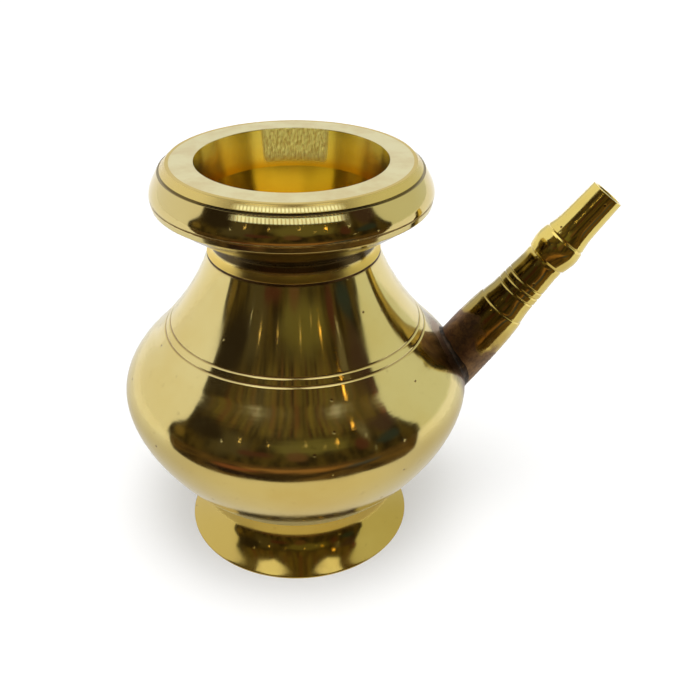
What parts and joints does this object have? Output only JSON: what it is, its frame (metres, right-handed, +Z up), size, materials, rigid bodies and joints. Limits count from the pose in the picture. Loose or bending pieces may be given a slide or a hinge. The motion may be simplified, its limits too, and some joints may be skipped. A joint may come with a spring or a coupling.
{
  "type": "pitcher",
  "caption": "Small round brass pouring vessel on a flared hollow foot, with a waisted neck, a broad flat-topped mouth ring and a slim tapered spout rising from its side.",
  "frame": {"origin": "the middle of the pitcher's outline, spout included, on the surface that it stands on; the pot's own turning axis is 18.7 mm behind it along -X", "axes": "+Z up, along the pot's turning axis; +X the way the spout points; +Y across, the short way"},
  "size_m": [0.131, 0.0936, 0.11],
  "materials": {
    "polished_brass": "lathe-turned and polished to a mirror",
    "faced_brass": "satin, with fine turning lines",
    "brazing_metal": "dark, heat-stained"
  },
  "bodies": {
    "root": {"foot": "polished_brass", "foot_seam": "brazing_metal", "belly_bowl": "polished_brass", "belly_seam": "brazing_metal", "shoulder": "polished_brass", "collar_seam": "brazing_metal", "neck": "polished_brass", "ring_seam": "brazing_metal", "mouth_ring": "faced_brass", "spout": "polished_brass", "spout_seam": "brazing_metal"}
  },
  "joints": []
}
